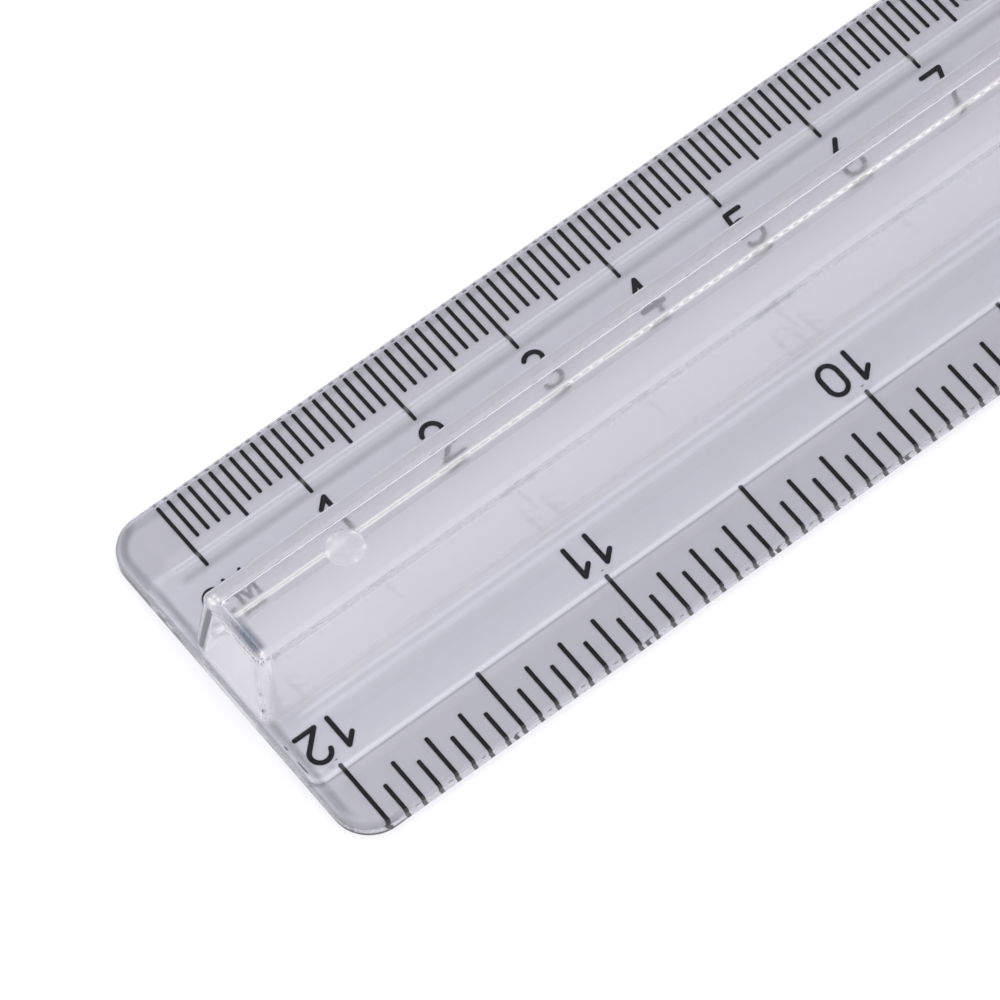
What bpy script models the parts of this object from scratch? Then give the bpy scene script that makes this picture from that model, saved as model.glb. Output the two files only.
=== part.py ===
"""Clear plastic finger-grip ruler, 30 cm on one ruling edge and 12 inches on the other.

The ruler lies flat on its underside. +X runs along the ruler, from the 0 cm end to the
30 cm end, +Y points to the metric edge and -Y to the inch edge, and +Z is up. The origin is
the middle of the underside. Lengths are in metres.
"""
import math

import bmesh
import bpy
from mathutils import Vector

MM = 0.001
QUARTER_TURN = math.pi / 2
OVERLAP = 0.4 * MM             # how far blanks and cutters run past the faces they meet
CORNER_STEPS = 8               # segments in each plan corner

# ---- plate -------------------------------------------------------------------------------
LENGTH = 310.8 * MM            # overall
WIDTH = 33.3 * MM              # overall
HALF_LENGTH = LENGTH / 2
HALF_WIDTH = WIDTH / 2
CORNER_R = 3.3 * MM            # plan radius of the four corners
EDGE_T = 1.3 * MM              # thickness at the ruling edges
EDGE_CUT = 0.20 * MM           # broken upper edge of the outline
UNDER_CUT = 0.10 * MM          # broken lower edge of the outline
STRIP_W = 5.6 * MM             # width of each sloping strip, up to the pad
SLOPE_T = 1.62 * MM            # thickness at the top of the slope, just under the pad
SLOPE_END = 1.0 * MM           # width of the slope at the two ends
SLOPE_TOP_R = 1.2 * MM         # plan radius at the top of the slope

# ---- raised pad --------------------------------------------------------------------------
PAD_T = 2.0 * MM               # thickness at the pad
PAD_R = 1.3 * MM               # plan radius of the pad's corners
PAD_GAP = 0.02 * MM            # gap from the foot of the pad to the ruler's ends
SHOULDER_T = EDGE_T + 0.95 * (SLOPE_T - EDGE_T)     # thickness at the shoulder's foot
SHOULDER_W = 0.9 * MM          # width of the soft shoulder along the strips
SHOULDER_END_R = 0.9 * MM      # radius that sets the shoulder's inset at the two ends
SHOULDER_END_ARC = 0.95 * QUARTER_TURN              # arc that inset follows
SHOULDER_STEPS = 6

# ---- finger-grip ridge -------------------------------------------------------------------
RIDGE_H = 9.5 * MM             # top of the ridge above the underside
RIDGE_FOOT_Y = (-5.20 * MM, 5.10 * MM)     # foot of the -Y and +Y wall
RIDGE_CREST_Y = (-3.60 * MM, 3.85 * MM)    # top edge of the -Y and +Y wall
RIDGE_FOOT_GAP = 0.20 * MM     # gap to the ruler's end at the foot
RIDGE_CREST_GAP = 1.15 * MM    # gap to the ruler's end at the crest
RIDGE_FOOT_R = 1.3 * MM        # plan radius of the corners at the foot
RIDGE_CREST_R = 0.9 * MM       # plan radius of the corners at the crest
NEAR_ROUND_R = 0.9 * MM        # rounding of the crest's -Y edge
FAR_ROUND_R = 0.35 * MM        # rounding of the crest's +Y edge and its two ends
CREST_CORNER_LOSS = 0.5        # part of both roundings taken off the corner radius
CREST_STEPS = 6
FILLET_R = 0.40 * MM           # fillet where the ridge's long walls leave the pad
FILLET_STEPS = 3

# ---- hollow inside the ridge -------------------------------------------------------------
WALL_T = 1.15 * MM             # moulded wall thickness
HOLLOW_R = 0.5 * MM            # plan radius of the hollow's corners
CEILING_R = 0.3 * MM           # fillet along the hollow's ceiling
CEILING_CORNER_LOSS = 0.9      # part of the fillet's inset taken off the corner radius
CEILING_STEPS = 3

# ---- shallow beds in the underside, one per scale ----------------------------------------
BED_START = 0.15 * MM          # from the ruling edge
BED_FINISH = 7.30 * MM         # from the ruling edge
BED_END_GAP = 1.0 * MM         # gap to the ruler's ends
BED_DEPTH = 0.10 * MM

# ---- printed scales, inside the beds -----------------------------------------------------
PRINT_START = 0.18 * MM        # start of the marks, from the ruling edge
PRINT_BOTTOM = 0.02 * MM
PRINT_TOP = 0.08 * MM
SPINE_W = 0.12 * MM            # hairline that holds the marks of one scale together

# Mark lengths are keyed by how many divisions apart such marks stand.
METRIC_COUNT = 300
METRIC_PITCH = 1.0 * MM
METRIC_LINE = 0.32 * MM        # width of a mark
METRIC_MARKS = {10: 6.62 * MM, 5: 5.10 * MM, 1: 4.07 * MM}

INCH_DIVISIONS = 16            # divisions in an inch
INCH_COUNT = 12 * INCH_DIVISIONS
INCH_PITCH = 25.4 / INCH_DIVISIONS * MM
INCH_LINE = 0.36 * MM          # width of a mark
INCH_MARKS = {16: 6.90 * MM, 8: 6.36 * MM, 2: 4.20 * MM, 1: 3.05 * MM}

CLEAR = (0.80, 0.80, 0.84, 1.0)
INK = (0.012, 0.012, 0.014, 1.0)
ACRYLIC_IOR = 1.49


def clear_scene():
    for ob in list(bpy.data.objects):
        bpy.data.objects.remove(ob, do_unlink=True)
    for group in (bpy.data.meshes, bpy.data.materials):
        for block in list(group):
            group.remove(block)


# ---- materials ---------------------------------------------------------------------------
def principled(name, color, roughness, transmission):
    material = bpy.data.materials.new(name)
    material.use_nodes = True
    inputs = material.node_tree.nodes["Principled BSDF"].inputs
    inputs["Base Color"].default_value = color
    inputs["Roughness"].default_value = roughness
    inputs["Metallic"].default_value = 0.0
    inputs["Transmission Weight"].default_value = transmission
    inputs["IOR"].default_value = ACRYLIC_IOR
    material.diffuse_color = color
    return material


def clear_plastic():
    return principled("clear_plastic", CLEAR, roughness=0.06, transmission=1.0)


def ink(name):
    return principled(name, INK, roughness=0.45, transmission=0.0)


# ---- solids ------------------------------------------------------------------------------
def object_from_bmesh(name, bm):
    bmesh.ops.recalc_face_normals(bm, faces=bm.faces[:])
    mesh = bpy.data.meshes.new(name)
    bm.to_mesh(mesh)
    bm.free()
    ob = bpy.data.objects.new(name, mesh)
    bpy.context.scene.collection.objects.link(ob)
    return ob


def prism(name, outline, bottom, top):
    """A closed solid from a plan outline, extruded from bottom up to top."""
    bm = bmesh.new()
    face = bm.faces.new([bm.verts.new((x, y, bottom)) for x, y in outline])
    made = bmesh.ops.extrude_face_region(bm, geom=[face])
    raised = [item for item in made["geom"] if isinstance(item, bmesh.types.BMVert)]
    bmesh.ops.translate(bm, verts=raised, vec=Vector((0.0, 0.0, top - bottom)))
    return object_from_bmesh(name, bm)


def ring(half_x, y_min, y_max, z, radius):
    """A rounded rectangle at height z, centred along X, counter-clockwise from +X +Y."""
    corners = (
        (half_x - radius, y_max - radius),
        (-(half_x - radius), y_max - radius),
        (-(half_x - radius), y_min + radius),
        (half_x - radius, y_min + radius),
    )
    points = []
    for quarter, (x, y) in enumerate(corners):
        for k in range(CORNER_STEPS + 1):
            angle = QUARTER_TURN * (quarter + k / CORNER_STEPS)
            points.append((x + radius * math.cos(angle), y + radius * math.sin(angle), z))
    return points


def inset_ring(inset_x, inset_y, z, radius):
    """A ring set in from the ruler's ends and ruling edges."""
    half_y = HALF_WIDTH - inset_y
    return ring(HALF_LENGTH - inset_x, -half_y, half_y, z, radius)


def loft(name, rings):
    """A closed solid through a stack of matching rings, with triangulated sides."""
    bm = bmesh.new()
    levels = [[bm.verts.new(point) for point in points] for points in rings]
    count = len(rings[0])
    bm.faces.new(levels[0][::-1])
    bm.faces.new(levels[-1])
    for lower, upper in zip(levels[:-1], levels[1:]):
        for k in range(count):
            j = (k + 1) % count
            bm.faces.new((lower[k], lower[j], upper[j]))
            bm.faces.new((lower[k], upper[j], upper[k]))
    return object_from_bmesh(name, bm)


def boolean(target, cutter, operation):
    """Join the cutter to the target or cut it away, and delete the cutter."""
    modifier = target.modifiers.new(operation.lower(), "BOOLEAN")
    modifier.operation = operation
    modifier.solver = "EXACT"
    modifier.object = cutter
    bpy.context.view_layer.update()
    graph = bpy.context.evaluated_depsgraph_get()
    result = bpy.data.meshes.new_from_object(target.evaluated_get(graph))
    target.modifiers.remove(modifier)
    spent_meshes = (target.data, cutter.data)
    target.data = result
    bpy.data.objects.remove(cutter, do_unlink=True)
    for mesh in spent_meshes:
        bpy.data.meshes.remove(mesh)


# ---- body --------------------------------------------------------------------------------
def plate_blank():
    """Flat underside, sloping strips along both ruling edges, broken outline edges."""
    return loft("ruler_body", [
        inset_ring(UNDER_CUT, UNDER_CUT, 0.0, CORNER_R - UNDER_CUT),
        inset_ring(0.0, 0.0, UNDER_CUT, CORNER_R),
        inset_ring(0.0, 0.0, EDGE_T - EDGE_CUT, CORNER_R),
        inset_ring(EDGE_CUT, EDGE_CUT, EDGE_T, CORNER_R - EDGE_CUT),
        inset_ring(SLOPE_END, STRIP_W + OVERLAP, SLOPE_T, SLOPE_TOP_R),
    ])


def pad_blank():
    """The raised pad between the strips, with a soft S-shaped shoulder along them."""
    rings = [inset_ring(PAD_GAP, STRIP_W, SHOULDER_T - OVERLAP, PAD_R)]
    for k in range(SHOULDER_STEPS + 1):
        t = k / SHOULDER_STEPS
        rise = 0.5 - 0.5 * math.cos(math.pi * t)
        rings.append(inset_ring(
            PAD_GAP + SHOULDER_END_R * (1 - math.cos(SHOULDER_END_ARC * t)),
            STRIP_W + SHOULDER_W * t,
            SHOULDER_T + (PAD_T - SHOULDER_T) * rise,
            PAD_R))
    return loft("pad_blank", rings)


def ridge_walls(z):
    """The ridge's outer half length and the y of its -Y and +Y wall at height z."""
    t = (z - PAD_T) / (RIDGE_H - PAD_T)
    gap = RIDGE_FOOT_GAP + t * (RIDGE_CREST_GAP - RIDGE_FOOT_GAP)
    y_min, y_max = (foot + t * (crest - foot)
                    for foot, crest in zip(RIDGE_FOOT_Y, RIDGE_CREST_Y))
    return HALF_LENGTH - gap, y_min, y_max


def rounding(radius, depth):
    """How far a rounded edge is cut back at a given depth below the top."""
    return radius - math.sqrt(radius**2 - (radius - depth)**2) if depth < radius else 0.0


def rounding_depths(radius, steps):
    """Depths below the top, from the start of a rounding up to the top itself."""
    return [radius * (1 - math.sin(QUARTER_TURN * k / steps)) for k in range(steps + 1)]


def ridge_blank():
    """The leaning walls, filleted at the pad and rounded along the crest."""
    half_x, y_min, y_max = ridge_walls(PAD_T)
    rings = [ring(half_x, y_min - FILLET_R, y_max + FILLET_R, PAD_T - OVERLAP,
                  RIDGE_FOOT_R + FILLET_R)]
    for k in range(FILLET_STEPS + 1):
        angle = QUARTER_TURN * k / FILLET_STEPS
        flare = FILLET_R * (1 - math.sin(angle))
        z = PAD_T + FILLET_R * (1 - math.cos(angle))
        half_x, y_min, y_max = ridge_walls(z)
        rings.append(ring(half_x, y_min - flare, y_max + flare, z, RIDGE_FOOT_R + flare))
    for depth in rounding_depths(NEAR_ROUND_R, CREST_STEPS):
        z = RIDGE_H - depth
        half_x, y_min, y_max = ridge_walls(z)
        near = rounding(NEAR_ROUND_R, depth)
        far = rounding(FAR_ROUND_R, depth)
        rings.append(ring(half_x - far, y_min + near, y_max - far, z,
                          RIDGE_CREST_R - CREST_CORNER_LOSS * (near + far)))
    return loft("ridge_blank", rings)


def hollow_blank():
    """The space inside the ridge, open underneath."""
    def hollow_ring(z, cut_back):
        half_x, y_min, y_max = ridge_walls(z)
        inset = WALL_T + cut_back
        return ring(half_x - inset, y_min + inset, y_max - inset, z,
                    HOLLOW_R - CEILING_CORNER_LOSS * cut_back)

    ceiling = RIDGE_H - WALL_T
    rings = [hollow_ring(-OVERLAP, 0.0)]
    for depth in rounding_depths(CEILING_R, CEILING_STEPS):
        rings.append(hollow_ring(ceiling - depth, rounding(CEILING_R, depth)))
    return loft("ridge_hollow", rings)


def bed_cutter(name, side):
    """The shallow bed of one scale; side is 1 for the +Y edge and -1 for the -Y edge."""
    end = HALF_LENGTH - BED_END_GAP
    y_min, y_max = sorted(side * (HALF_WIDTH - inset) for inset in (BED_START, BED_FINISH))
    outline = [(-end, y_min), (end, y_min), (end, y_max), (-end, y_max)]
    return prism(name, outline, -OVERLAP, BED_DEPTH)


def make_body():
    body = plate_blank()
    boolean(body, pad_blank(), "UNION")
    boolean(body, ridge_blank(), "UNION")
    boolean(body, hollow_blank(), "DIFFERENCE")
    boolean(body, bed_cutter("metric_bed", 1), "DIFFERENCE")
    boolean(body, bed_cutter("inch_bed", -1), "DIFFERENCE")
    # The booleans can leave an empty material slot.
    body.data.materials.clear()
    body.data.materials.append(clear_plastic())
    body.data.name = "ruler_body"
    return body


# ---- scales ------------------------------------------------------------------------------
def mark_length(index, marks):
    """The length of the coarsest kind of mark that falls on this index."""
    return marks[max(step for step in marks if index % step == 0)]


def make_scale(name, side, count, pitch, line, marks, material):
    """All the marks of one scale as one thin comb, held together by a hairline spine."""
    edge = HALF_WIDTH - PRINT_START
    spine = edge - SPINE_W
    start = -count * pitch / 2
    outline = []
    for k in range(count + 1):
        x = start + pitch * k
        left, right = x - line / 2, x + line / 2
        tip = edge - mark_length(k, marks)
        outline += [(left, spine), (left, tip), (right, tip), (right, spine)]
    # The first and last mark reach the outer side of the spine.
    for end in (0, -1):
        outline[end] = (outline[end][0], edge)
    scale = prism(name, [(x, side * y) for x, y in outline], PRINT_BOTTOM, PRINT_TOP)
    scale.data.materials.append(material)
    return scale


def make_metric_scale():
    return make_scale("metric_scale_print", side=1, count=METRIC_COUNT, pitch=METRIC_PITCH,
                      line=METRIC_LINE, marks=METRIC_MARKS, material=ink("metric_ink"))


def make_inch_scale():
    return make_scale("inch_scale_print", side=-1, count=INCH_COUNT, pitch=INCH_PITCH,
                      line=INCH_LINE, marks=INCH_MARKS, material=ink("inch_ink"))


def main():
    clear_scene()
    ruler = bpy.data.objects.new("ruler", None)
    bpy.context.scene.collection.objects.link(ruler)
    for make_piece in (make_body, make_metric_scale, make_inch_scale):
        make_piece().parent = ruler


main()
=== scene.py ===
# A clear plastic ruler with a raised pad and a hollow finger-grip ridge along its middle.
# It lies flat and centred along X with its underside at z = 0. The metric scale runs along
# the +Y (far) edge, the inch scale along the -Y (near) edge, turned half round.
import math
from functools import cache, reduce

import bmesh
import bpy
import numpy as np
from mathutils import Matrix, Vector


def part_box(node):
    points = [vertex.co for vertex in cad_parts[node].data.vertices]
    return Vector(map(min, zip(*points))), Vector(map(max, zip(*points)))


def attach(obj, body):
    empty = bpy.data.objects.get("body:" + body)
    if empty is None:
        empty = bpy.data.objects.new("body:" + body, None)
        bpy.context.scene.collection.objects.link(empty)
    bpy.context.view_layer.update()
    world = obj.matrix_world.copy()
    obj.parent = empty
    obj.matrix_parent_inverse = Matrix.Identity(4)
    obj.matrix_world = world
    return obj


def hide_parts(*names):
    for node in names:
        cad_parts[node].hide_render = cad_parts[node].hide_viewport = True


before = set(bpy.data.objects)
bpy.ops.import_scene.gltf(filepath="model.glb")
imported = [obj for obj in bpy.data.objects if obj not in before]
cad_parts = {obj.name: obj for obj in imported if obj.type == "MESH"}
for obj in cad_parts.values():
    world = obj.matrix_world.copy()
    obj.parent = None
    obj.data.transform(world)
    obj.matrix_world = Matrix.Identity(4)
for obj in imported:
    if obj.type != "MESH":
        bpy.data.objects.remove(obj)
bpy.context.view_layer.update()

MM = 0.001      # sizes below are millimetres; meshes and shader coordinates are metres


LOW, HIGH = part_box("ruler_body")
HALF_LENGTH = (HIGH.x - LOW.x) / 2 / MM
HALF_WIDTH = (HIGH.y - LOW.y) / 2 / MM
TOP = HIGH.z / MM                      # top of the finger-grip ridge

# ---- shape of the moulding, millimetres ---------------------------------------------------
CORNER_R = 3.3          # plan radius of the corners
UNDER_R = 0.12          # softened lower edge
EDGE_T = 1.3            # thickness at the ruling edges
SLOPE_T = 1.62          # thickness where the sloping strip meets the pad
EDGE_R = 0.30           # rounded upper edge along the sides
END_R = 0.6             # rounded upper edge at the ends
EDGE_TURN = 0.92        # share of a quarter turn that the upper edge makes
STRIP_W = 5.6           # width of the sloping strips
SLOPE_TUCK = (0.3, 0.6)     # how far the strips' inner line runs on under the pad, X and Y
SLOPE_R = 1.2           # plan radius of that inner line's corners
PAD_T = 2.0             # thickness of the raised pad
PAD_GAP = 0.02          # gap from the pad's foot to the ruler's end
PAD_LAP = 0.05          # how far the pad's foot overlaps the strips
PAD_FOOT = EDGE_T + (SLOPE_T - EDGE_T) * 0.95   # height where the pad's shoulder starts
PAD_SINK = 0.25         # how far the pad is sunk into the plate
SHOULDER_W = 0.9        # width of the pad's soft shoulder
PAD_END = 0.9           # the shoulder's width at the two ends
PAD_END_TURN = 0.95     # share of a quarter turn that it makes there
PAD_R = 1.3             # plan radius of the pad's corners
RIDGE_FOOT = (-5.20, 5.10)      # Y of the ridge's near and far face at the pad
RIDGE_CREST = (-3.60, 3.85)     # and at the top
RIDGE_END = (0.20, 1.15)    # gap to the ruler's end, at the foot and at the crest
RIDGE_R = (1.3, 0.9)        # plan radius of the ridge's corners, foot and crest
RIDGE_SINK = 0.2            # how far the ridge is sunk into the pad
CREST_R = (0.9, 0.18)       # rounding along the crest's near and far edge
ROOT_R = 0.40               # fillet where the ridge leaves the pad
WALL = 1.15                 # wall thickness of the hollow ridge
CEILING = TOP - WALL        # height of the hollow's ceiling
CEIL_R = 0.3                # fillet along the hollow's ceiling
HOLLOW_R = 0.5              # plan radius of the hollow's corners
HOLLOW_MIN_R = 0.05         # least plan radius along the fillet
OVERCUT = 0.3               # how far a cutter starts below the surface it cuts
PIN_X = (-143.1, -71.6, 0.0, 71.6, 143.1)      # ejector-pin marks on the ceiling
PIN_Y = 0.57
PIN_R = 1.65
PIN_D = 0.05
# a pin mark's rings: inset from PIN_R, height above the ceiling
PIN_RINGS = ((0, -OVERCUT), (0, PIN_D * 0.4), (0.10, PIN_D * 0.8), (0.25, PIN_D))

UNDER_STEPS = 3
EDGE_STEPS = 10
SHOULDER_STEPS = 24
ROOT_STEPS = 5
CREST_STEPS = 14
CEIL_STEPS = 6
ROUND_STEPS = 14        # per plan corner
PIN_SEGMENTS = 48

# ---- printing, millimetres ---------------------------------------------------------------
INK_Z = (0.02, 0.05)            # bottom and top of the ink
MARK_EDGE = 0.18                # from the ruling edge to the marks
MARK_R = 0.13                   # rounding of the marks' corners
METRIC_LINE, INCH_LINE = 0.32, 0.36     # width of the marks
METRIC_START, INCH_START = -150.0, -152.4
CENTIMETRE, INCH = 10.0, 25.4
# mark classes: name, every how many divisions, length
METRIC_CLASSES = (("centimetre", 10, 6.62), ("half_centimetre", 5, 5.10), ("millimetre", 1, 4.07))
INCH_CLASSES = (("inch", 16, 6.90), ("half_inch", 8, 6.36), ("eighth_inch", 2, 4.20),
                ("sixteenth_inch", 1, 3.05))
FIGURE_H, FIGURE_STROKE = 3.3, 0.42
UNIT_H, METRIC_UNIT_STROKE, INCH_UNIT_STROKE = 2.33, 0.32, 0.38
METRIC_FIGURE_TOP = 7.43        # from the metric edge to the top of the figures
INCH_FIGURE_TOP = 7.20
# sideways shifts of the lettering from its marks
METRIC_FIGURE_SHIFT = 0.3
METRIC_UNIT_SHIFT = -0.30
INCH_FIGURE_SHIFTS = (0.45, -0.1) + (-0.4,) * 10    # from 12 down to 1
INCH_UNIT_SHIFT = -0.6

# ---- finish, with painted light and shade ------------------------------------------------
# The strips' and ridge's tints are the same plastic with painted shade and painted light: darker
# on the strips, lighter on the ridge.
TINT_FLAT = (0.458, 0.453, 0.533)
TINT_STRIP_SHADED = (0.347, 0.341, 0.398)
TINT_RIDGE_LIT = (0.566, 0.550, 0.607)
# painted shade: dark colours for the walls at the crest's ends and the far upright corners
CREST_END_PAINTED_SHADE = (0.060, 0.078, 0.118)
FAR_CORNER_PAINTED_SHADE = (0.012, 0.013, 0.022)
INNER = (0.97, 0.97, 0.98)      # colour for rays already inside
INNER_WALL = (0.86, 0.86, 0.89)     # the same on the hollow's far wall
SCRATCH_ROUGH = 0.02
FOOT_ROUGH = 0.35
PIN_ROUGH = 0.30
# painted light: the light line, glints and pin marks are given emission
LINE_Z = 2.75                   # height of the light line on the hollow's far wall
LINE_HALF = 1.05
LINE_GLOW = 0.60
GLINTS = ((1.93, -3.05, 0.36), (1.80, 2.95, 0.62), (2.45, 2.35, 0.40))  # end gap, y, radius
GLINT_GLOW = 0.40
PIN_GLOW = 0.13
PIN_RIM_GLOW = 0.35
GLOW_COLOUR = (1.0, 0.97, 0.88, 1.0)

# Painted light and shade as soft stripes of lighter or darker tint: distance of the centre, half
# width (mm), change of gain at the centre.
# Measured inwards from the ruler's outline:
END_SHADE_BANDS = ((0.72, 0.56, -0.36), (0.10, 0.17, -0.30))
CORNER_SHADE_BAND = (0.10, 0.50, -0.28)
FAR_EDGE_LIGHT_AND_SHADE = ((1.00, 0.50, -0.13), (0.35, 0.25, 0.08))
# Measured inwards from the pad's outline:
METRIC_PAD_LIGHT_AND_SHADE = ((0.26, 0.26, 0.10), (0.56, 0.14, -0.10), (0.88, 0.26, 0.12),
                      (1.76, 0.62, -0.22), (-0.55, 0.65, 0.08))
INCH_PAD_LIGHT_AND_SHADE = ((0.26, 0.26, 0.24), (-0.06, 0.16, -0.20), (-0.55, 0.50, 0.10),
                    (0.62, 0.30, -0.06))
# Placed by y, along the ridge's near foot:
NEAR_FOOT_PAINTED_LIGHT = ((-5.46, 0.30, 0.22), (-6.20, 0.35, 0.10))


# ---- mesh helpers ------------------------------------------------------------------------
def new_object(name, bm, mat=None):
    bmesh.ops.recalc_face_normals(bm, faces=bm.faces[:])
    mesh = bpy.data.meshes.new(name)
    bm.to_mesh(mesh)
    bm.free()
    ob = bpy.data.objects.new(name, mesh)
    bpy.context.scene.collection.objects.link(ob)
    if mat is not None:
        mesh.materials.append(mat)
    return ob


def thicken(bm, faces, height):
    """Extrudes flat faces upwards by height, in metres."""
    made = bmesh.ops.extrude_face_region(bm, geom=faces)
    lifted = [item for item in made["geom"] if isinstance(item, bmesh.types.BMVert)]
    bmesh.ops.translate(bm, verts=lifted, vec=Vector((0, 0, height)))


def register(ob, node):
    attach(ob, "root")
    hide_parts(node)


def ring(half_x, y_low, y_high, z, radius, radius_x=None):
    """A rounded rectangle centred on x = 0 at height z; radius_x makes the corners oval."""
    radius_x = radius if radius_x is None else radius_x
    top, bottom = y_high - radius, y_low + radius
    points = []
    for side, centre_y, start in ((1, top, 0.0), (-1, top, 0.5), (-1, bottom, 1.0),
                                  (1, bottom, 1.5)):
        for k in range(ROUND_STEPS + 1):
            angle = math.pi * (start + 0.5 * k / ROUND_STEPS)
            x = side * (half_x - radius_x) + radius_x * math.cos(angle)
            points.append((x * MM, (centre_y + radius * math.sin(angle)) * MM, z * MM))
    return points


def circle(x, y, z, radius):
    angles = [2 * math.pi * k / PIN_SEGMENTS for k in range(PIN_SEGMENTS)]
    return [((x + radius * math.cos(a)) * MM, (y + radius * math.sin(a)) * MM, z * MM)
            for a in angles]


def loft(name, rings):
    """A closed solid through rings of equal point count, from the bottom up."""
    bm = bmesh.new()
    levels = [[bm.verts.new(point) for point in points] for points in rings]
    count = len(rings[0])
    bm.faces.new(levels[0][::-1])
    bm.faces.new(levels[-1])
    for lower, upper in zip(levels[:-1], levels[1:]):
        for k in range(count):
            j = (k + 1) % count
            bm.faces.new((lower[k], lower[j], upper[j], upper[k]))
    return new_object(name, bm)


def boolean(target, cutter, operation):
    """Applies a boolean to target and removes the cutter."""
    mod = target.modifiers.new("cut", "BOOLEAN")
    mod.operation = operation
    mod.solver = "EXACT"
    mod.object = cutter
    bpy.context.view_layer.update()
    graph = bpy.context.evaluated_depsgraph_get()
    result = bpy.data.meshes.new_from_object(target.evaluated_get(graph))
    target.modifiers.clear()
    old = target.data
    target.data = result
    bpy.data.meshes.remove(old)
    cutter_mesh = cutter.data
    bpy.data.objects.remove(cutter, do_unlink=True)
    bpy.data.meshes.remove(cutter_mesh)


def quarter(k, steps, share=1.0):
    """Inset and drop, as shares of the radius, along a rounded edge from its side to its top."""
    angle = math.pi / 2 * share * k / steps
    return 1 - math.cos(angle), 1 - math.sin(angle)


def cut_back(radius, depth):
    """How far a rounded edge is cut back at a given depth below the top."""
    return radius - math.sqrt(radius ** 2 - (radius - depth) ** 2) if depth < radius else 0.0


# ---- moulding ----------------------------------------------------------------------------
def plate():
    """Flat plate with softened lower edge, rounded upper edge and sloping strips."""
    rings = []
    for k in range(UNDER_STEPS + 1):
        inset, drop = quarter(UNDER_STEPS - k, UNDER_STEPS)
        inset *= UNDER_R
        rings.append(ring(HALF_LENGTH - inset, -HALF_WIDTH + inset, HALF_WIDTH - inset,
                          UNDER_R * drop, CORNER_R - inset))
    for k in range(EDGE_STEPS + 1):
        inset, drop = quarter(k, EDGE_STEPS, EDGE_TURN)
        inset_x, inset_y = END_R * inset, EDGE_R * inset
        rings.append(ring(HALF_LENGTH - inset_x, -HALF_WIDTH + inset_y, HALF_WIDTH - inset_y,
                          EDGE_T - EDGE_R * drop, CORNER_R - inset_y, CORNER_R - inset_x))
    half_y = HALF_WIDTH - STRIP_W - SLOPE_TUCK[1]
    rings.append(ring(HALF_LENGTH - END_R - SLOPE_TUCK[0], -half_y, half_y, SLOPE_T, SLOPE_R))
    return loft("ruler_shell", rings)


def raised_pad():
    """Pad with a soft shoulder."""
    half_y = HALF_WIDTH - STRIP_W + PAD_LAP
    rings = [ring(HALF_LENGTH - PAD_GAP, -half_y, half_y, PAD_FOOT - PAD_SINK, PAD_R)]
    for k in range(SHOULDER_STEPS + 1):
        t = k / SHOULDER_STEPS
        rise = 0.5 - 0.5 * math.cos(math.pi * t)
        inset_x = PAD_GAP + PAD_END * quarter(k, SHOULDER_STEPS, PAD_END_TURN)[0]
        half_y = HALF_WIDTH - STRIP_W - SHOULDER_W * t
        rings.append(ring(HALF_LENGTH - inset_x, -half_y, half_y,
                          PAD_FOOT + (PAD_T - PAD_FOOT) * rise, PAD_R))
    return loft("pad", rings)


def ridge_at(z):
    """Half length, near face and far face of the ridge's outside at height z."""
    climb = (z - PAD_T) / (TOP - PAD_T)
    half_x = HALF_LENGTH - (RIDGE_END[0] + climb * (RIDGE_END[1] - RIDGE_END[0]))
    near, far = (foot + climb * (crest - foot) for foot, crest in zip(RIDGE_FOOT, RIDGE_CREST))
    return half_x, near, far


def ridge():
    """Ridge with rounded corners, a root fillet and a rounded crest."""
    rings = []
    for k in range(ROOT_STEPS + 1):
        angle = math.pi / 2 * k / ROOT_STEPS
        flare = ROOT_R * (1 - math.sin(angle))
        z = PAD_T + ROOT_R * (1 - math.cos(angle))
        half_x, near, far = ridge_at(z)
        for level in ((PAD_T - RIDGE_SINK, z) if k == 0 else (z,)):
            rings.append(ring(half_x, near - flare, far + flare, level, RIDGE_R[0] + flare))
    for k in range(CREST_STEPS + 1):
        depth = CREST_R[0] * quarter(k, CREST_STEPS)[1]
        half_x, near, far = ridge_at(TOP - depth)
        near_cut, far_cut = (cut_back(radius, depth) for radius in CREST_R)
        rings.append(ring(half_x - far_cut, near + near_cut, far - far_cut, TOP - depth,
                          RIDGE_R[1] - 0.5 * (near_cut + far_cut)))
    return loft("ridge", rings)


def hollow_ring(z, inset, radius):
    half_x, near, far = ridge_at(z)
    margin = WALL + inset
    return ring(half_x - margin, near + margin, far - margin, z, radius)


def hollow():
    """Cutter for the ridge's hollow, open underneath."""
    rings = [hollow_ring(-OVERCUT, 0.0, HOLLOW_R)]
    for k in range(CEIL_STEPS + 1):
        inset, drop = quarter(k, CEIL_STEPS)
        inset *= CEIL_R
        rings.append(hollow_ring(CEILING - CEIL_R * drop, inset,
                                 max(HOLLOW_R - inset, HOLLOW_MIN_R)))
    return loft("hollow", rings)


def moulding(mat):
    """The clear moulding: plate, raised pad and hollow finger-grip ridge in one shell."""
    shell = plate()
    boolean(shell, raised_pad(), "UNION")
    boolean(shell, ridge(), "UNION")
    boolean(shell, hollow(), "DIFFERENCE")
    for x in PIN_X:
        rings = [circle(x, PIN_Y, CEILING + z, PIN_R - inset) for inset, z in PIN_RINGS]
        boolean(shell, loft("pin_mark", rings), "DIFFERENCE")
    shell.data.materials.clear()
    shell.data.materials.append(mat)
    shell.data.name = "ruler_shell"
    for face in shell.data.polygons:
        face.use_smooth = False
    return shell


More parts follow.
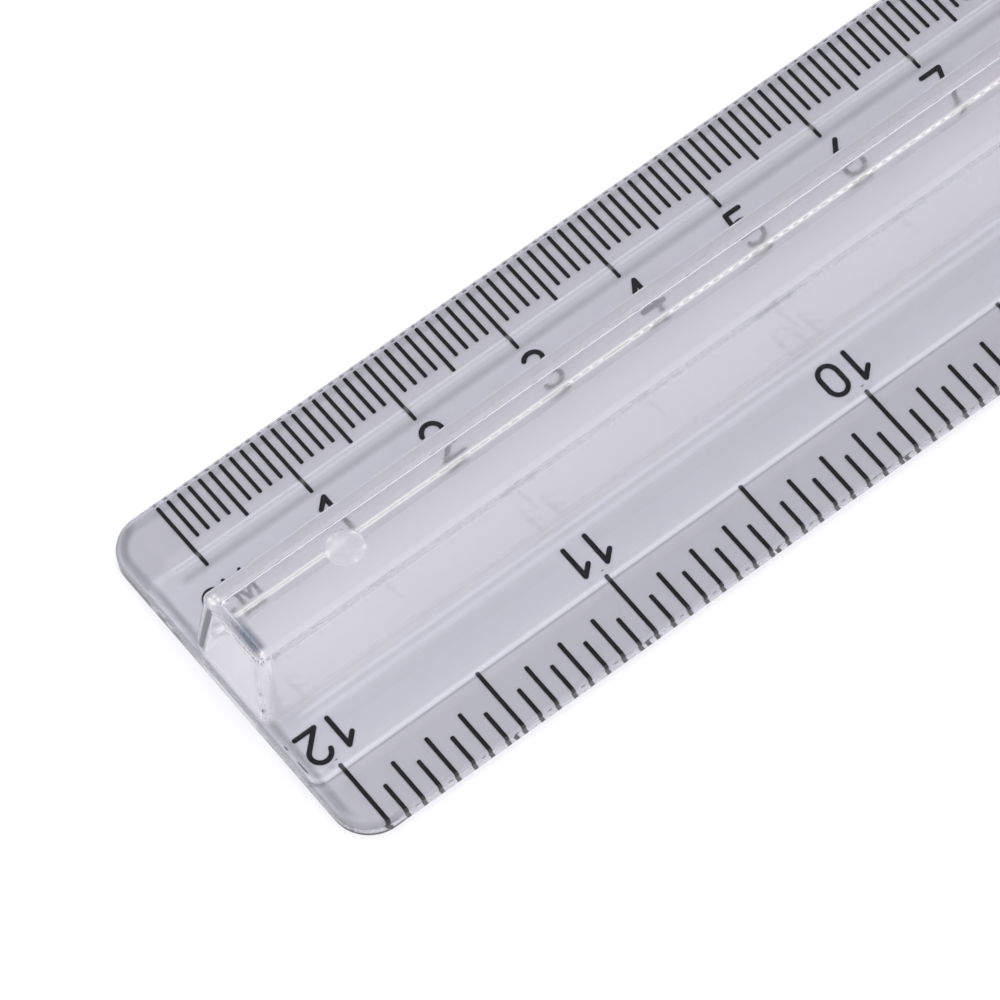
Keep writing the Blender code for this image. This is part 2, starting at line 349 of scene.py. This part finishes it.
# ---- scale marks -------------------------------------------------------------------------
def rounded_bar(x, y_start, y_end, width):
    """Plan outline of one scale mark."""
    toward = 1 if y_end > y_start else -1
    points = []
    for side, end, start in ((1, 1, 0), (-1, 1, 90), (-1, -1, 180), (1, -1, 270)):
        centre_x = x + side * (width / 2 - MARK_R)
        centre_y = y_end - toward * MARK_R if end > 0 else y_start + toward * MARK_R
        for k in range(4):
            angle = math.radians(start + 30 * k)
            points.append((centre_x + MARK_R * math.cos(angle),
                           centre_y + toward * MARK_R * math.sin(angle)))
    return points


def marks(name, bars, ink):
    bm = bmesh.new()
    for points in bars:
        face = bm.faces.new([bm.verts.new((x * MM, y * MM, INK_Z[0] * MM)) for x, y in points])
        thicken(bm, [face], (INK_Z[1] - INK_Z[0]) * MM)
    return new_object(name, bm, ink)


def scale_marks(scale, side, start, pitch, divisions, width, classes, ink):
    """One object per class of mark. side is 1 for the +Y edge and -1 for the -Y edge."""
    edge = side * (HALF_WIDTH - MARK_EDGE)
    bars = {name: [] for name, _, _ in classes}
    for k in range(divisions + 1):
        name, length = next((name, length) for name, step, length in classes if k % step == 0)
        bars[name].append(rounded_bar(start + k * pitch, edge, edge - side * length, width))
    for name, items in bars.items():
        register(marks(f"{scale}_marks_{name}", items, ink), f"{scale}_scale_print")


# ---- lettering ---------------------------------------------------------------------------
def arc(centre_x, centre_y, radius_x, radius_y, start, end, steps=18):
    angles = [math.radians(start + (end - start) * k / steps) for k in range(steps + 1)]
    return [(centre_x + radius_x * math.cos(a), centre_y + radius_y * math.sin(a))
            for a in angles]


# Centre lines of plain single-stroke figures: 1 high, centred on x = 0.
FIGURES = {
    "0": [arc(0, .68, .28, .32, 0, 180) + arc(0, .32, .28, .32, 180, 360) + [(.28, .68)]],
    "1": [[(-.24, .72), (.05, 1.0), (.05, 0.0)]],
    "2": [arc(0, .70, .30, .30, 168, -28) + [(-.31, 0.0), (.32, 0.0)]],
    "3": [arc(-.01, .755, .27, .245, 150, -90), arc(-.01, .265, .30, .265, 90, -150)],
    "4": [[(.13, 0.0), (.13, 1.0), (-.34, .27), (.34, .27)]],
    "5": [[(.25, 1.0), (-.20, 1.0), (-.25, .52)] + arc(-.01, .32, .31, .32, 125, -145)],
    "6": [[(.14, 1.0), (-.24, .46)] + arc(0, .30, .30, .30, 150, 510, 28)],
    "7": [[(-.30, 1.0), (.30, 1.0), (-.08, 0.0)]],
    "8": [arc(0, .755, .255, .245, -90, 270, 24) + arc(0, .27, .30, .27, 90, -270, 24)],
    "9": [arc(0, .70, .30, .30, -30, 330, 28) + [(.24, .54), (-.14, 0.0)]],
    "C": [arc(.04, .50, .44, .50, 52, 308, 26)],
    "M": [[(-.385, .0), (-.385, 1.0), (0, .12), (.385, 1.0), (.385, .0)]],
    "I": [[(0, 0), (0, 1.0)]],
    "N": [[(-.34, .0), (-.34, 1.0), (.34, 0), (.34, 1.0)]],
}
# Room each figure takes along the line, as a share of its height.
ADVANCE = {"1": .72, "C": 1.17, "M": 1.08, "I": .62, "N": 1.15}
DEFAULT_ADVANCE = .86
CELLS_HIGH = 90         # sampling grid cells per figure height
SIMPLIFY = 0.10         # largest deviation when thinning an outline, in cells


def simplify(loop, tolerance):
    """Drops the points of a closed loop that lie within tolerance of a straight run."""
    points = np.array(loop)
    count = len(points)
    farthest = int(np.argmax(((points - points[0]) ** 2).sum(1)))

    def keep(i, j):
        if j <= i + 1:
            return []
        start = points[i % count]
        run = points[j % count] - start
        length = math.hypot(run[0], run[1])
        offset = points[[k % count for k in range(i + 1, j)]] - start
        if length > 1e-12:
            distance = np.abs(offset[:, 0] * run[1] - offset[:, 1] * run[0]) / length
        else:
            distance = np.hypot(offset[:, 0], offset[:, 1])
        worst = int(np.argmax(distance))
        if distance[worst] < tolerance:
            return []
        k = i + 1 + worst
        return keep(i, k) + [k] + keep(k, j)

    index = [0] + keep(0, farthest) + [farthest] + keep(farthest, count)
    return [tuple(points[k % count]) for k in index]


def stroke_field(figure, height, stroke, cell):
    """Grid x and y, and the signed distance there to the edge of the figure's stroke."""
    size = height - stroke
    segments = []
    for line in FIGURES[figure]:
        points = [(x * size, y * size) for x, y in line]
        segments += [(p, q) for p, q in zip(points, points[1:]) if math.dist(p, q) > 1e-9]
    start = np.array([segment[0] for segment in segments])
    end = np.array([segment[1] for segment in segments])
    low = np.minimum(start, end).min(0) - stroke
    high = np.maximum(start, end).max(0) + stroke
    count_x, count_y = [int(v) + 2 for v in (high - low) / cell]
    xs = low[0] + np.arange(count_x) * cell
    ys = low[1] + np.arange(count_y) * cell
    grid = np.stack(np.meshgrid(xs, ys, indexing="ij"), -1).reshape(-1, 1, 2)
    run = end - start
    t = np.clip(((grid - start) * run).sum(-1) / (run ** 2).sum(1), 0, 1)
    distance = np.sqrt(((grid - start - t[..., None] * run) ** 2).sum(-1)).min(1)
    return xs, ys, distance.reshape(count_x, count_y) - stroke / 2


def edge_links(inside):
    """Marching squares: for each crossed grid edge (i, j, axis), the edges that follow it."""
    after = {}
    for i in range(inside.shape[0] - 1):
        for j in range(inside.shape[1] - 1):
            corners = (inside[i, j], inside[i + 1, j], inside[i + 1, j + 1], inside[i, j + 1])
            if sum(corners) in (0, 4):
                continue
            edges = [(i, j, 0), (i + 1, j, 1), (i, j + 1, 0), (i, j, 1)]
            crossed = [k for k in range(4) if corners[k] != corners[(k + 1) % 4]]
            if len(crossed) == 2:
                u, v = crossed
                if corners[(u + 1) % 4]:
                    u, v = v, u
                after.setdefault(edges[u], []).append(edges[v])
            else:
                for u in crossed:
                    if not corners[(u + 1) % 4]:
                        after.setdefault(edges[u], []).append(edges[(u - 1) % 4])
    return after


@cache
def outlines(figure, height, stroke):
    """Closed outlines of a figure: everything within half a stroke of its centre line."""
    cell = height / CELLS_HIGH
    xs, ys, field = stroke_field(figure, height, stroke, cell)

    def crossing(i, j, axis):
        here = field[i, j]
        there = field[i + 1, j] if axis == 0 else field[i, j + 1]
        step = here / (here - there) * cell
        return xs[i] + (step if axis == 0 else 0), ys[j] + (step if axis == 1 else 0)

    after = edge_links(field < 0)
    loops = []
    while after:
        first = next(iter(after))
        key, loop = first, []
        while True:
            loop.append(crossing(*key))
            following = after[key]
            upcoming = following.pop()
            if not following:
                del after[key]
            key = upcoming
            if key == first:
                break
        loops.append(simplify(loop, cell * SIMPLIFY))
    return [loop for loop in loops if len(loop) > 3]


def print_figure(bm, loops, x, y, shift_x, shift_y, flip):
    """Adds one figure's thin ink to bm. flip turns the shifted loops half round."""
    turn = -1 if flip else 1
    part = bmesh.new()
    for loop in loops:
        verts = [part.verts.new(((x + turn * (u + shift_x)) * MM,
                                 (y + turn * (v + shift_y)) * MM, INK_Z[0] * MM))
                 for u, v in loop]
        for k in range(len(verts)):
            part.edges.new((verts[k], verts[(k + 1) % len(verts)]))
    bmesh.ops.triangle_fill(part, use_beauty=True, use_dissolve=False, edges=part.edges[:])
    thicken(part, part.faces[:], (INK_Z[1] - INK_Z[0]) * MM)
    bmesh.ops.recalc_face_normals(part, faces=part.faces[:])
    mesh = bpy.data.meshes.new("figure")
    part.to_mesh(mesh)
    part.free()
    bm.from_mesh(mesh)
    bpy.data.meshes.remove(mesh)


def lettering(scale, part, labels, y, height, stroke, ink, flip=False):
    """One object of printed labels (text, x), each centred on its x with its foot at y."""
    bm = bmesh.new()
    for text, x in labels:
        widths = [ADVANCE.get(c, DEFAULT_ADVANCE) * (height - stroke) for c in text]
        at = -sum(widths) / 2
        for figure, width in zip(text, widths):
            print_figure(bm, outlines(figure, height, stroke), x, y, at + width / 2,
                         stroke / 2, flip)
            at += width
    register(new_object(f"{scale}_{part}", bm, ink), f"{scale}_scale_print")


def printing(metric_ink, inch_ink):
    scale_marks("metric", side=1, start=METRIC_START, pitch=CENTIMETRE / 10, divisions=300,
                width=METRIC_LINE, classes=METRIC_CLASSES, ink=metric_ink)
    scale_marks("inch", side=-1, start=INCH_START, pitch=INCH / 16, divisions=192,
                width=INCH_LINE, classes=INCH_CLASSES, ink=inch_ink)
    foot = HALF_WIDTH - METRIC_FIGURE_TOP - FIGURE_H
    labels = [(str(k), METRIC_START + CENTIMETRE * k + METRIC_FIGURE_SHIFT)
              for k in range(1, 31)]
    lettering("metric", "figures", labels, foot, FIGURE_H, FIGURE_STROKE, metric_ink)
    lettering("metric", "unit", [("CM", METRIC_START + METRIC_UNIT_SHIFT)], foot, UNIT_H,
              METRIC_UNIT_STROKE, metric_ink)
    foot = -HALF_WIDTH + INCH_FIGURE_TOP + FIGURE_H
    labels = [(str(12 - k), INCH_START + INCH * k + shift)
              for k, shift in enumerate(INCH_FIGURE_SHIFTS)]
    lettering("inch", "figures", labels, foot, FIGURE_H, FIGURE_STROKE, inch_ink, flip=True)
    lettering("inch", "unit", [("IN", -INCH_START + INCH_UNIT_SHIFT)], foot, UNIT_H,
              INCH_UNIT_STROKE, inch_ink, flip=True)


# ---- node helpers ------------------------------------------------------------------------
class Nodes:
    """Short hand for building one node tree."""

    def __init__(self, owner):
        owner.use_nodes = True
        self.tree = owner.node_tree

    def add(self, kind, **values):
        node = self.tree.nodes.new("ShaderNode" + kind)
        for key, value in values.items():
            setattr(node, key, value)
        return node

    def link(self, a, b):
        self.tree.links.new(a, b)

    def calc(self, op, a, b=0.0):
        node = self.add("Math", operation=op)
        for k, value in enumerate((a, b)):
            if isinstance(value, (int, float)):
                node.inputs[k].default_value = value
            else:
                self.link(value, node.inputs[k])
        return node.outputs[0]

    def times(self, a, b):
        return self.calc("MULTIPLY", a, b)

    def minus(self, a, b):
        return self.calc("SUBTRACT", a, b)

    def chain(self, op, items):
        return reduce(lambda a, b: self.calc(op, a, b), items)

    def total(self, items):
        return self.chain("ADD", items)

    def hypot(self, a, b):
        return self.calc("SQRT", self.calc("ADD", self.times(a, a), self.times(b, b)))

    def apart(self, a, b):
        return self.calc("ABSOLUTE", self.minus(a, b))

    def mix(self, factor, a, b):
        node = self.add("Mix", data_type="RGBA")
        for key, value in (("Factor", factor), ("A", a), ("B", b)):
            if isinstance(value, tuple):
                node.inputs[key].default_value = (*value, 1.0)
            else:
                self.link(value, node.inputs[key])
        return node.outputs["Result"]

    def span(self, value, start, end, first=0.0, last=1.0, smooth=True):
        """Goes from first to last as value goes from start to end."""
        node = self.add("MapRange")
        if smooth:
            node.interpolation_type = "SMOOTHSTEP"
        node.inputs["From Min"].default_value = start
        node.inputs["From Max"].default_value = end
        node.inputs["To Min"].default_value = first
        node.inputs["To Max"].default_value = last
        self.link(value, node.inputs["Value"])
        return node.outputs[0]

    def fade(self, value, start, end, first=0.0, last=1.0):
        """A smooth span with start and end in millimetres."""
        return self.span(value, start * MM, end * MM, first, last)

    def band(self, value, centre, half, amount):
        """A soft stripe of the given amount where value is near centre; see the stripes."""
        return self.fade(self.apart(value, centre * MM), half, 0.0, 0.0, amount)

    def bands(self, value, stripes):
        return [self.band(value, *stripe) for stripe in stripes]

    def noise(self, vector, scale, detail):
        node = self.add("TexNoise")
        node.inputs["Scale"].default_value = scale
        node.inputs["Detail"].default_value = detail
        self.link(vector, node.inputs["Vector"])
        return node.outputs["Fac"]

    def coordinate(self, kind="Object"):
        return self.add("TexCoord").outputs[kind]

    def bounces(self, path):
        return self.calc("ADD", path.outputs["Transmission Depth"],
                         path.outputs["Diffuse Depth"])

    def mix_to_output(self, factor, first, second):
        mix = self.add("MixShader")
        for k, source in enumerate((factor, first, second)):
            self.link(source, mix.inputs[k])
        self.link(mix.outputs[0], self.tree.nodes["Material Output"].inputs["Surface"])


# ---- clear plastic -----------------------------------------------------------------------
class PlasticNodes(Nodes):
    """Lays the plastic's tint, its painted light and shade, polish and glow out from the ruler's
    own outlines.
    """

    def __init__(self, owner):
        super().__init__(owner)
        self.place = self.coordinate()
        split = self.add("SeparateXYZ")
        self.link(self.place, split.inputs[0])
        self.x, self.y, self.z = (split.outputs[axis] for axis in "XYZ")
        self.abs_x = self.calc("ABSOLUTE", self.x)
        self.abs_y = self.calc("ABSOLUTE", self.y)
        self.end_gap = self.minus(HALF_LENGTH * MM, self.abs_x)
        self.border = self.outline_depth(HALF_LENGTH, HALF_WIDTH, CORNER_R)
        self.pad = self.outline_depth(HALF_LENGTH - PAD_GAP, HALF_WIDTH - STRIP_W, PAD_R)
        climb = self.calc("DIVIDE", self.minus(self.z, PAD_T * MM), (TOP - PAD_T) * MM)
        self.near_face, self.far_face = (
            self.calc("ADD", foot * MM, self.times(climb, (crest - foot) * MM))
            for foot, crest in zip(RIDGE_FOOT, RIDGE_CREST))
        self.flecks = self.noise(self.place, scale=2400.0, detail=2.0)
        self.pin_radius = self.distance_to_pin()
        self.pin = self.pin_marks()

    def outline_depth(self, half_x, half_y, radius):
        """Distance inwards from a rounded-rectangle outline; negative outside it."""
        from_x = self.minus(self.abs_x, (half_x - radius) * MM)
        from_y = self.minus(self.abs_y, (half_y - radius) * MM)
        outer = self.hypot(self.calc("MAXIMUM", from_x, 0.0), self.calc("MAXIMUM", from_y, 0.0))
        inner = self.calc("MINIMUM", self.calc("MAXIMUM", from_x, from_y), 0.0)
        return self.minus(radius * MM, self.calc("ADD", outer, inner))

    def far_depth(self):
        """Distance inwards from the ridge's far face."""
        return self.minus(self.far_face, self.y)

    def distance_to_pin(self):
        gaps = [self.apart(self.x, x * MM) for x in PIN_X]
        return self.hypot(self.chain("MINIMUM", gaps), self.minus(self.y, PIN_Y * MM))

    def pin_marks(self):
        """1 on the pin marks in the hollow's ceiling."""
        return self.times(
            self.fade(self.pin_radius, start=PIN_R, end=PIN_R - 0.15),
            self.times(self.fade(self.z, start=CEILING - 0.3, end=CEILING - 0.1),
                       self.fade(self.z, start=CEILING + 0.4, end=CEILING + 0.3)))

    def low_strokes(self):
        """Painted light and shade: light and dark stripes of the borders and the pad's shoulder,
        below the ridge.
        """
        fade, times, total = self.fade, self.times, self.total
        y, z, border, pad = self.y, self.z, self.border, self.pad
        low = fade(z, start=2.2, end=3.2, first=1.0, last=0.0)
        metric = self.calc("GREATER_THAN", y, 0.0)
        inch = self.calc("LESS_THAN", y, 0.0)
        ends = fade(self.abs_x, start=HALF_LENGTH - 3.4, end=HALF_LENGTH - 2.2)
        middle = self.minus(1.0, ends)
        turn = self.calc("MAXIMUM", middle, fade(self.abs_y, start=9.3, end=10.3))
        end_shade = times(times(ends, fade(y, start=-15.2, end=-13.0)),
                          total(self.bands(border, END_SHADE_BANDS)))
        # painted shade in the two corners on the inch side
        corners = times(times(inch, fade(self.end_gap, start=5.2, end=3.6)),
                        fade(y, start=-12.8, end=-14.6))
        low_corner_shade = times(corners, total([
            times(fade(z, start=0.8, end=1.0), self.band(border, *CORNER_SHADE_BAND)),
            times(fade(z, start=0.50, end=0.30), fade(border, start=0.3, end=0.15, last=-0.88))]))
        # painted shade: a dark line low along the outline at the ends
        rim_shade = times(times(ends, fade(y, start=-16.0, end=-12.0)),
                         times(fade(z, start=0.40, end=0.20),
                               fade(border, start=0.3, end=0.15, last=-0.30)))
        # painted light and shade: stripes along the far edge and on both sides of the pad
        far_edge = times(times(metric, middle), total(self.bands(border, FAR_EDGE_LIGHT_AND_SHADE)))
        metric_side = times(times(metric, middle), total(
            self.bands(pad, METRIC_PAD_LIGHT_AND_SHADE) + [fade(pad, start=0.1, end=-0.3, last=0.035)]))
        inch_side = times(times(inch, turn), total(
            self.bands(pad, INCH_PAD_LIGHT_AND_SHADE) + [fade(border, start=1.5, end=5.0, last=0.03)]
            + self.bands(y, NEAR_FOOT_PAINTED_LIGHT)))
        return times(low, total([end_shade, low_corner_shade, rim_shade, far_edge, metric_side,
                                 inch_side]))

    def gain(self):
        """Brightness of the tint: 1 plus all painted light and shade stripes and a faint random
        cloudiness.
        """
        fade, times = self.fade, self.times
        # painted shade on the near upright corner at each end of the ridge
        column = times(times(fade(self.minus(self.y, self.near_face), start=1.5, end=0.9),
                             fade(self.end_gap, start=2.1, end=1.5)),
                       times(fade(self.z, start=2.4, end=3.4),
                             fade(self.z, start=TOP, end=TOP - 0.8)))
        # painted shade on the far strip of the crest
        back = times(fade(self.y, start=2.75, end=2.95),
                     fade(self.z, start=TOP - 0.5, end=TOP - 0.2))
        column_shade_gain, back_shade_gain = -0.10, -0.05
        painted_bands = self.total([self.low_strokes(), times(column, column_shade_gain),
                              times(back, back_shade_gain)])
        uneven = self.span(self.noise(self.place, scale=45.0, detail=3.0), start=0.25, end=0.75,
                           first=-0.012, last=0.012, smooth=False)
        return self.total([painted_bands, uneven, self.calc("ADD", 1.0, 0.0)])

    def tint(self):
        """Body colour where a ray first enters, with painted light and shade laid into it."""
        fade, times = self.fade, self.times
        gain = self.gain()
        height = fade(self.z, start=2.03, end=2.35)
        side = fade(self.pad, start=0.3, end=-0.6)
        # painted shade and light: the same plastic is tinted darker on the strips and lighter on
        # the ridge
        tint = self.mix(height, self.mix(side, TINT_FLAT, TINT_STRIP_SHADED), TINT_RIDGE_LIT)
        scaled = self.add("VectorMath", operation="SCALE")
        self.link(tint, scaled.inputs[0])
        self.link(times(gain, gain), scaled.inputs["Scale"])
        # painted shade: the wall at each end of the crest is coloured deep blue-grey
        crest = times(fade(self.z, start=TOP - 0.9, end=TOP - 0.2),
                      times(times(fade(self.end_gap, start=2.75, end=2.15),
                                  fade(self.end_gap, start=1.25, end=1.60)),
                            times(fade(self.y, start=2.0, end=-0.9),
                                  fade(self.y, start=-3.0, end=-2.4))))
        crest_shade_share = 0.92
        tint = self.mix(times(crest, crest_shade_share), scaled.outputs[0], CREST_END_PAINTED_SHADE)
        # painted shade: the far upright corner at each end is darker still
        corner = times(times(fade(self.end_gap, start=1.75, end=1.45),
                             self.band(self.far_depth(), centre=1.34, half=0.66, amount=1.0)),
                       times(fade(self.z, start=2.4, end=3.2),
                             fade(self.z, start=TOP - 0.1, end=TOP - 0.5)))
        corner_shade_boost = 1.4
        share = self.calc("MINIMUM", times(corner, corner_shade_boost), 1.0)
        return self.mix(share, tint, FAR_CORNER_PAINTED_SHADE)

    def inner_colour(self):
        """Colour for rays already inside; a band of the hollow's far wall gets a darker colour.
        """
        fade, times = self.fade, self.times
        wall = times(times(fade(self.y, start=2.2, end=2.5),
                           fade(self.far_depth(), start=0.5, end=0.8)),
                     times(fade(self.z, start=4.6, end=5.4),
                           fade(self.z, start=TOP - 0.9, end=TOP - 1.1)))
        return self.mix(wall, INNER, INNER_WALL)

    def roughness(self):
        """Faint handling scratches, a matte line along the ridge's foot, matte pin marks."""
        stretch = self.add("Mapping")
        stretch.inputs["Scale"].default_value = (60.0, 900.0, 900.0)
        stretch.inputs["Rotation"].default_value = (0.0, 0.0, math.radians(6.0))
        self.link(self.place, stretch.inputs["Vector"])
        worn = self.span(self.noise(stretch.outputs[0], scale=1.0, detail=6.0),
                         start=0.62, end=0.85, last=SCRATCH_ROUGH)
        foot_y = 4.75
        foot = self.times(self.fade(self.apart(self.abs_y, foot_y * MM), start=1.45, end=1.15),
                          self.fade(self.z, start=2.6, end=2.3))
        return self.calc("MAXIMUM", worn,
                         self.calc("MAXIMUM", self.times(foot, FOOT_ROUGH),
                                   self.times(self.pin, PIN_ROUGH)))

    def light_line(self):
        """Painted light: an emitting line low on the hollow's far wall, standing in for light
        gathered there.
        """
        surface = self.add("NewGeometry")
        from_air = self.minus(1.0, surface.outputs["Backfacing"])
        height = self.band(self.z, LINE_Z, LINE_HALF, amount=1.0)
        return self.times(
            self.times(height, self.times(from_air, self.fade(self.y, start=3.0, end=3.2))),
            self.times(self.fade(self.far_depth(), start=0.5, end=0.8),
                       self.fade(self.end_gap, start=2.6, end=3.2)))

    def glints(self):
        """Painted glints: flecked emitting spots in the crest's end corners."""
        spots = []
        for gap, y, size in GLINTS:
            away = self.hypot(self.minus(self.end_gap, gap * MM), self.minus(self.y, y * MM))
            spots.append(self.fade(away, start=size, end=size * 0.4))
        return self.times(self.chain("MAXIMUM", spots),
                          self.times(self.fade(self.z, start=TOP - 0.8, end=TOP - 0.3),
                                     self.span(self.flecks, start=0.38, end=0.62)))

    def glow(self):
        """Painted light: emission of the light line, the glints and the pin marks with their
        brighter rim.
        """
        pin_face = self.span(self.flecks, start=0.3, end=0.7, first=0.3 * PIN_GLOW,
                             last=PIN_GLOW)
        pin_rim = self.times(self.fade(self.pin_radius, start=PIN_R - 0.45, end=PIN_R - 0.3),
                             self.span(self.flecks, start=0.52, end=0.6, last=PIN_RIM_GLOW))
        return self.chain("MAXIMUM", [
            self.times(self.light_line(), LINE_GLOW), self.times(self.glints(), GLINT_GLOW),
            self.times(self.pin, self.calc("MAXIMUM", pin_face, pin_rim))])


def clear_plastic():
    """Lavender-grey clear plastic. The body tint is taken once, where a ray first enters."""
    mat = bpy.data.materials.new("clear_plastic_moulded")
    n = PlasticNodes(mat)
    bsdf = n.tree.nodes["Principled BSDF"]
    bsdf.inputs["Transmission Weight"].default_value = 1.0
    bsdf.inputs["IOR"].default_value = 1.5
    # painted light: the glow masks drive emission
    bsdf.inputs["Emission Color"].default_value = GLOW_COLOUR
    path = n.add("LightPath")
    deep = n.calc("GREATER_THAN", n.bounces(path), 0.5)
    n.link(n.mix(deep, n.tint(), n.inner_colour()), bsdf.inputs["Base Color"])
    n.link(n.roughness(), bsdf.inputs["Roughness"])
    n.link(n.glow(), bsdf.inputs["Emission Strength"])
    # shadow rays pass almost unhindered
    shadow = n.add("BsdfTransparent")
    shadow.inputs[0].default_value = (*INNER, 1.0)
    n.mix_to_output(path.outputs["Is Shadow Ray"], bsdf.outputs[0], shadow.outputs[0])
    return mat


# ---- ink and table -----------------------------------------------------------------------
def printing_ink(name, grain_scale):
    """Black pad-printing ink with slightly uneven density and sheen."""
    mat = bpy.data.materials.new(name)
    n = Nodes(mat)
    bsdf = n.tree.nodes["Principled BSDF"]
    grain = n.noise(n.coordinate(), scale=grain_scale, detail=4.0)
    density = n.span(grain, start=0.3, end=0.75)
    n.link(n.mix(density, a=(0.0045, 0.0045, 0.0060), b=(0.0095, 0.0090, 0.0110)),
           bsdf.inputs["Base Color"])
    n.link(n.span(grain, start=0.3, end=0.7, first=0.42, last=0.60), bsdf.inputs["Roughness"])
    return mat


def table_top():
    mat = bpy.data.materials.new("pale_table")
    n = Nodes(mat)
    bsdf = n.tree.nodes["Principled BSDF"]
    bsdf.inputs["Roughness"].default_value = 1.0
    bsdf.inputs["Specular IOR Level"].default_value = 0.0
    fibre = n.noise(n.coordinate(), scale=120.0, detail=5.0)
    n.link(n.mix(fibre, a=(0.945, 0.945, 0.947), b=(0.955, 0.955, 0.955)),
           bsdf.inputs["Base Color"])
    # looked at from below, the table is see-through, so the ruler's underside shows
    path = n.add("LightPath")
    surface = n.add("NewGeometry")
    toward = n.add("SeparateXYZ")
    n.link(surface.outputs["Incoming"], toward.inputs[0])
    clear = n.add("BsdfTransparent")
    from_below = n.times(n.calc("LESS_THAN", toward.outputs["Z"], 0.0),
                         path.outputs["Is Camera Ray"])
    n.mix_to_output(from_below, bsdf.outputs[0], clear.outputs[0])
    return mat


# ---- surroundings ------------------------------------------------------------------------
def floor():
    """A round table top just under the ruler."""
    radius, sides = 3.0, 64             # radius in metres
    low, high = -4 * MM, -0.02 * MM
    angles = [k * 2 * math.pi / sides for k in range(sides)]
    bm = bmesh.new()
    face = bm.faces.new([bm.verts.new((radius * math.cos(a), radius * math.sin(a), low))
                         for a in angles])
    thicken(bm, [face], high - low)
    new_object("table", bm, table_top())


def dome():
    """An even soft white dome. A first reflection straight towards the camera finds it dark."""
    white, black = (0.97, 0.97, 1.0), (0.0, 0.0, 0.0)
    strength = 1.25
    dark_direction = Vector((0.22, 0.415, 0.883)).normalized()
    dark_outer, dark_inner = math.radians(24), math.radians(12)     # dark spot's soft edge
    world = bpy.data.worlds.new("studio")
    bpy.context.scene.world = world
    n = Nodes(world)
    back = n.tree.nodes["Background"]
    back.inputs[1].default_value = strength
    dot = n.add("VectorMath", operation="DOT_PRODUCT")
    dot.inputs[1].default_value = dark_direction
    n.link(n.coordinate("Generated"), dot.inputs[0])
    spot = n.span(dot.outputs["Value"], math.cos(dark_outer), math.cos(dark_inner))
    first = n.calc("LESS_THAN", n.bounces(n.add("LightPath")), 0.5)
    n.link(n.mix(n.times(spot, first), white, black), back.inputs[0])


def camera():
    data = bpy.data.cameras.new("camera")
    ob = bpy.data.objects.new("camera", data)
    bpy.context.scene.collection.objects.link(ob)
    ob.location = (-0.278044, -0.238806, 0.508968)
    ob.rotation_euler = (0.503076, 0.055617, -0.657458)
    data.lens = 273.490
    data.sensor_width = 36.0
    data.clip_start = 0.01
    bpy.context.scene.camera = ob


def render_settings():
    scene = bpy.context.scene
    scene.cycles.max_bounces = 48
    scene.cycles.glossy_bounces = 48
    scene.cycles.transmission_bounces = 48
    scene.cycles.transparent_max_bounces = 16
    scene.cycles.diffuse_bounces = 4
    scene.cycles.caustics_refractive = True
    scene.cycles.caustics_reflective = True
    scene.view_settings.view_transform = "Standard"


def main():
    plastic = clear_plastic()
    metric_ink = printing_ink("metric_printing_ink", grain_scale=2600.0)
    inch_ink = printing_ink("inch_printing_ink", grain_scale=2900.0)
    register(moulding(plastic), "ruler_body")
    printing(metric_ink, inch_ink)
    floor()
    dome()
    camera()
    render_settings()


main()
